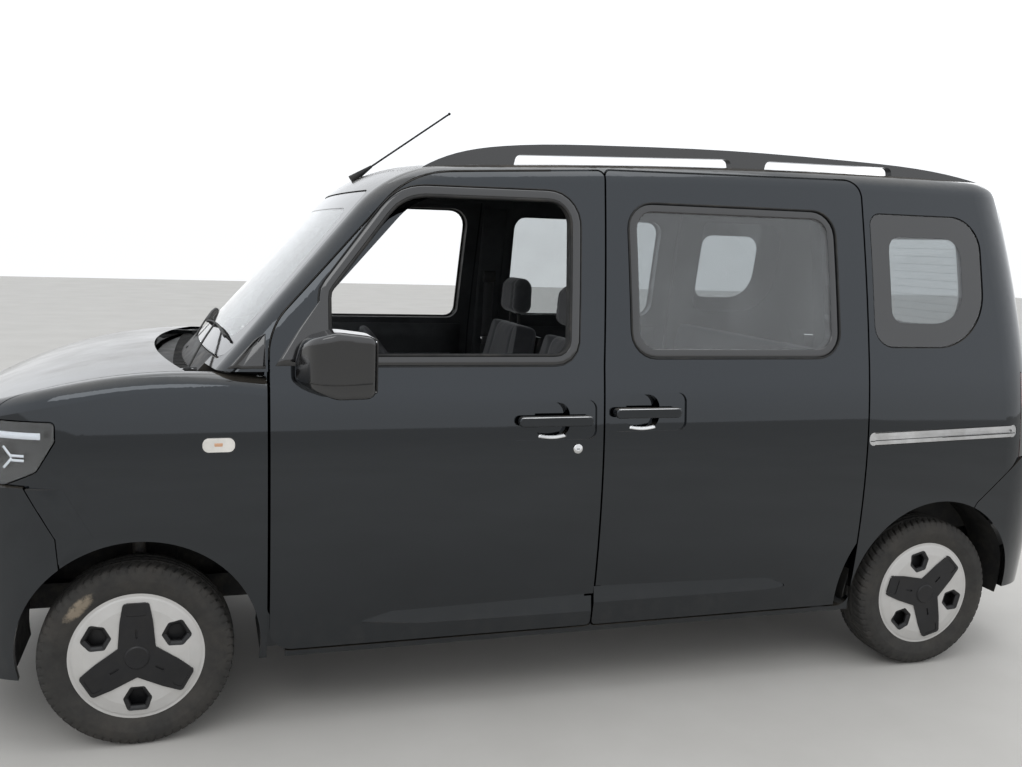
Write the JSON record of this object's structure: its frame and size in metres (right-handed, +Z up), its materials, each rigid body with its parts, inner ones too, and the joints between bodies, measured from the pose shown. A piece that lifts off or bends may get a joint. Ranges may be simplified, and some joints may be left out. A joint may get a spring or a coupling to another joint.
{
  "type": "electric minivan",
  "caption": "Small boxy electric minivan with hinged front doors, sliding rear doors, bonnet, tailgate, roof rails and steered front wheels.",
  "frame": {"origin": "on the ground, in the middle of the overall length and width", "axes": "+X to the rear, +Y to the vehicle's right, +Z up"},
  "size_m": [4.055, 1.9948, 2.0215],
  "materials": {
    "paint_black": "gloss black lacquer",
    "body_black": "satin black",
    "black_plastic": "grained",
    "gloss_black": "gloss",
    "dash_plastic": "grained dark grey",
    "glass_clear": "clear",
    "glass_tinted": "tinted",
    "lamp_front": "smoked clear lens",
    "lamp_rear": "red lens",
    "lamp_clear": "clear lens",
    "rail_silver": "satin",
    "wheel_silver": "silver with matt black centre",
    "tyre_rubber": "worn rubber",
    "seat_fabric": "woven grey",
    "case_metal": "cast",
    "steel_black": "chassis black",
    "cast_steel": "cast"
  },
  "bodies": {
    "body": {"underbody": "body_black", "bulkhead": "body_black", "wheel_arch_liners": "black_plastic", "body_sides": "paint_black", "roof_panel": "paint_black", "cowl": "black_plastic", "fenders": "paint_black", "front_bumper": "paint_black", "rear_bumper": "paint_black", "windscreen": "glass_clear", "side_glass": "glass_tinted", "sliding_doors": "paint_black", "sliding_handles": "paint_black", "headlamps": "gloss_black", "tail_lamps": "lamp_rear", "side_repeaters": "lamp_clear", "roof_rails": "gloss_black", "antenna": "black_plastic", "slide_rails": "rail_silver", "dashboard": "dash_plastic", "seat_frames": "body_black", "front_seats": "seat_fabric", "rear_bench": "seat_fabric", "battery_pack": "case_metal", "drive_unit": "case_metal", "front_suspension": "steel_black", "rear_axle": "steel_black", "leaf_springs": "steel_black", "headlamp_lenses": "lamp_front"},
    "front_door_left": {"front_door_left": "paint_black", "door_handle_left": "paint_black", "mirror_left": "gloss_black"},
    "front_door_right": {"front_door_right": "paint_black", "door_handle_right": "paint_black", "mirror_right": "gloss_black"},
    "bonnet": {"bonnet": "paint_black"},
    "tailgate": {"tailgate": "paint_black", "rear_glass": "glass_tinted"},
    "knuckle_left": {"knuckle_left": "cast_steel"},
    "knuckle_right": {"knuckle_right": "cast_steel"},
    "steering_wheel": {"steering_wheel": "dash_plastic"},
    "wheel_front_left": {"tyre_front_left": "tyre_rubber", "wheel_front_left": "wheel_silver"},
    "wheel_front_right": {"tyre_front_right": "tyre_rubber", "wheel_front_right": "wheel_silver"},
    "wheel_rear_left": {"tyre_rear_left": "tyre_rubber", "wheel_rear_left": "wheel_silver"},
    "wheel_rear_right": {"tyre_rear_right": "tyre_rubber", "wheel_rear_right": "wheel_silver"}
  },
  "joints": [
    {"name": "front_door_left_hinge", "type": "hinge", "parent": "body", "child": "front_door_left", "pos_m": [-0.9395, -0.79904, 0.5], "axis": [0, 0.0237, -0.9997], "range_deg": [0, 66]},
    {"name": "front_door_right_hinge", "type": "hinge", "parent": "body", "child": "front_door_right", "pos_m": [-0.9395, 0.79904, 0.5], "axis": [0, 0.0237, 0.9997], "range_deg": [0, 66]},
    {"name": "bonnet_hinge", "type": "hinge", "parent": "body", "child": "bonnet", "pos_m": [-1.2225, 0, 1.122], "axis": [0, 1, 0], "range_deg": [0, 50]},
    {"name": "tailgate_hinge", "type": "hinge", "parent": "body", "child": "tailgate", "pos_m": [1.7475, 0, 1.825], "axis": [0, -1, 0], "range_deg": [0, 85]},
    {"name": "steer_left", "type": "hinge", "parent": "body", "child": "knuckle_left", "pos_m": [-1.3875, -0.596, 0.282], "axis": [0, 0, 1], "range_deg": [-33, 33]},
    {"name": "steer_right", "type": "hinge", "parent": "body", "child": "knuckle_right", "pos_m": [-1.3875, 0.596, 0.282], "axis": [0, 0, 1], "range_deg": [-33, 33]},
    {"name": "steering_wheel_turn", "type": "hinge", "parent": "body", "child": "steering_wheel", "pos_m": [-0.5765, -0.37, 1.07], "axis": [0.8387, 0, 0.5446], "range_deg": [-495, 495]},
    {"name": "wheel_front_left_spin", "type": "hinge", "parent": "knuckle_left", "child": "wheel_front_left", "pos_m": [-1.3875, -0.708, 0.282], "axis": [0, 1, 0], "continuous": true},
    {"name": "wheel_front_right_spin", "type": "hinge", "parent": "knuckle_right", "child": "wheel_front_right", "pos_m": [-1.3875, 0.708, 0.282], "axis": [0, 1, 0], "continuous": true},
    {"name": "wheel_rear_left_spin", "type": "hinge", "parent": "body", "child": "wheel_rear_left", "pos_m": [1.4075, -0.708, 0.282], "axis": [0, 1, 0], "continuous": true},
    {"name": "wheel_rear_right_spin", "type": "hinge", "parent": "body", "child": "wheel_rear_right", "pos_m": [1.4075, 0.708, 0.282], "axis": [0, 1, 0], "continuous": true}
  ],
  "couplings": [
    {"joint": "steer_right", "follows": "steer_left", "ratio": 1},
    {"joint": "steering_wheel_turn", "follows": "steer_left", "ratio": 15}
  ]
}
